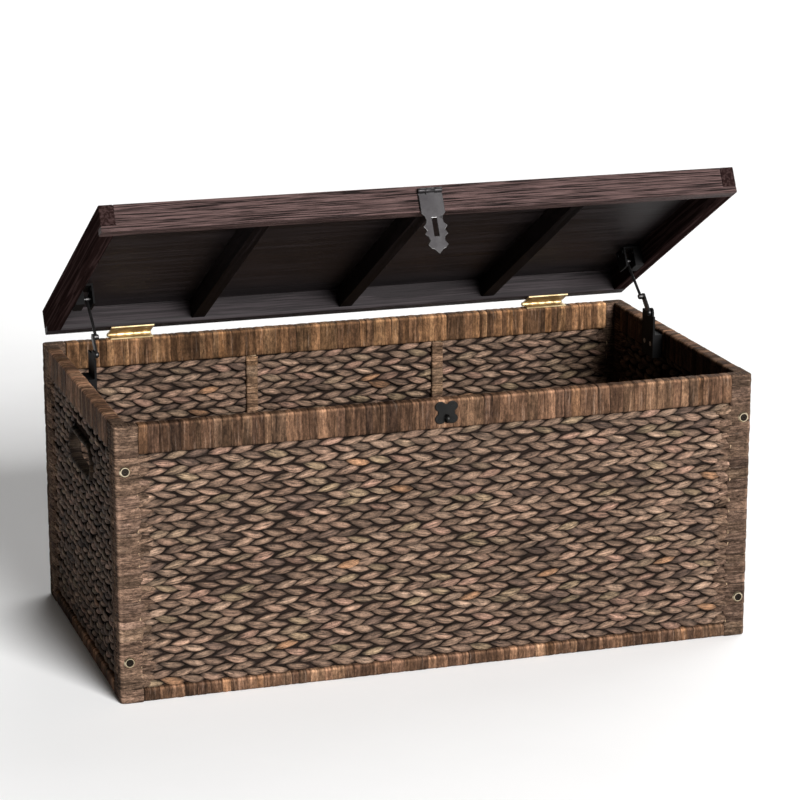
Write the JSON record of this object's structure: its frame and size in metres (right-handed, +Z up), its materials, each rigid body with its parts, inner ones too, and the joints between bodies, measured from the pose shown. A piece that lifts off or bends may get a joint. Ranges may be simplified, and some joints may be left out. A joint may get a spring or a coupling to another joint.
{
  "type": "wicker storage trunk",
  "caption": "Rectangular storage trunk with woven and wrapped wicker walls, a hinged wooden lid held open by folding stays, and a hasp that swings over a staple.",
  "frame": {"origin": "centre of the trunk's underside, on the middle batten", "axes": "+X to the right along the long side, seen from the front where the hasp is; +Y to the back, where the hinges are; +Z up"},
  "size_m": [0.915, 0.5096, 0.6675],
  "materials": {
    "frame_wood": "bare softwood under the wrapping",
    "wrapping": "dry plant strips wound side by side, brown wash, matt",
    "weave": "braided water hyacinth with a grey-brown wash, matt with dark gaps",
    "floor_board": "dark stained board",
    "lid_wood": "espresso stain, open grain, low sheen",
    "lid_board": "espresso stained board, low sheen",
    "dark_steel": "gunmetal, worn bright on its edges",
    "brass": "polished brass",
    "black_metal": "black, satin",
    "stay_steel": "darkened steel"
  },
  "bodies": {
    "trunk": {"front_frame": "frame_wood", "back_frame": "frame_wood", "left_frame": "frame_wood", "right_frame": "frame_wood", "front_top_wrap": "wrapping", "front_bottom_wrap": "wrapping", "front_stile_wraps": "wrapping", "back_top_wrap": "wrapping", "back_bottom_wrap": "wrapping", "back_stile_wraps": "wrapping", "back_upright_wraps": "wrapping", "left_top_wrap": "wrapping", "left_bottom_wrap": "wrapping", "left_stile_wraps": "wrapping", "right_top_wrap": "wrapping", "right_bottom_wrap": "wrapping", "right_stile_wraps": "wrapping", "front_weave": "weave", "back_weave": "weave", "left_weave": "weave", "right_weave": "weave", "left_hand_hole_lip": "wrapping", "right_hand_hole_lip": "wrapping", "bottom_panel": "floor_board", "bottom_battens": "frame_wood", "corner_bolts": "dark_steel", "bolt_washers": "brass", "threaded_inserts": "brass", "staple": "dark_steel", "staple_screws": "dark_steel", "left_hinge_body_leaf": "brass", "right_hinge_body_leaf": "brass", "left_hinge_pin": "brass", "right_hinge_pin": "brass", "hinge_body_screws": "brass", "left_stay_bracket": "black_metal", "right_stay_bracket": "black_metal", "stay_bracket_screws": "stay_steel"},
    "lid": {"lid_front_rail": "lid_wood", "lid_back_rail": "lid_wood", "lid_left_rail": "lid_wood", "lid_right_rail": "lid_wood", "lid_panel": "lid_board", "lid_ribs": "lid_wood", "left_hinge_lid_leaf": "brass", "right_hinge_lid_leaf": "brass", "hinge_lid_screws": "brass", "hasp_leaf": "dark_steel", "hasp_pin": "dark_steel", "hasp_screws": "dark_steel", "left_stay_lid_block": "black_metal", "right_stay_lid_block": "black_metal", "stay_block_screws": "stay_steel"},
    "hasp": {"hasp_strap": "dark_steel"},
    "left_lever": {"left_stay_lever": "stay_steel"},
    "left_rod": {"left_stay_rod": "stay_steel"},
    "right_lever": {"right_stay_lever": "stay_steel"},
    "right_rod": {"right_stay_rod": "stay_steel"}
  },
  "joints": [
    {"name": "lid_hinge", "type": "hinge", "parent": "trunk", "child": "lid", "pos_m": [0, 0.2487, 0.389], "axis": [1, 0, 0], "range_deg": [0, 29.43]},
    {"name": "hasp_hinge", "type": "hinge", "parent": "lid", "child": "hasp", "pos_m": [0.0025, -0.17181, 0.66183], "axis": [-1, 0, 0], "range_deg": [0, 195]},
    {"name": "left_stay_foot", "type": "hinge", "parent": "trunk", "child": "left_lever", "pos_m": [-0.4183, 0.041, 0.4135], "axis": [1, 0, 0], "range_deg": [-165.9, 0]},
    {"name": "left_stay_elbow", "type": "hinge", "parent": "left_lever", "child": "left_rod", "pos_m": [-0.414, 0.06324, 0.43364], "axis": [1, 0, 0], "range_deg": [0, 139.9]},
    {"name": "right_stay_foot", "type": "hinge", "parent": "trunk", "child": "right_lever", "pos_m": [0.4183, 0.041, 0.4135], "axis": [1, 0, 0], "range_deg": [-165.9, 0]},
    {"name": "right_stay_elbow", "type": "hinge", "parent": "right_lever", "child": "right_rod", "pos_m": [0.414, 0.06324, 0.43364], "axis": [1, 0, 0], "range_deg": [0, 139.9]}
  ],
  "couplings": [
    {"joint": "left_stay_foot", "follows": "lid_hinge", "ratio": -5.604},
    {"joint": "left_stay_elbow", "follows": "lid_hinge", "ratio": 4.7191},
    {"joint": "right_stay_foot", "follows": "lid_hinge", "ratio": -5.604},
    {"joint": "right_stay_elbow", "follows": "lid_hinge", "ratio": 4.7191}
  ]
}
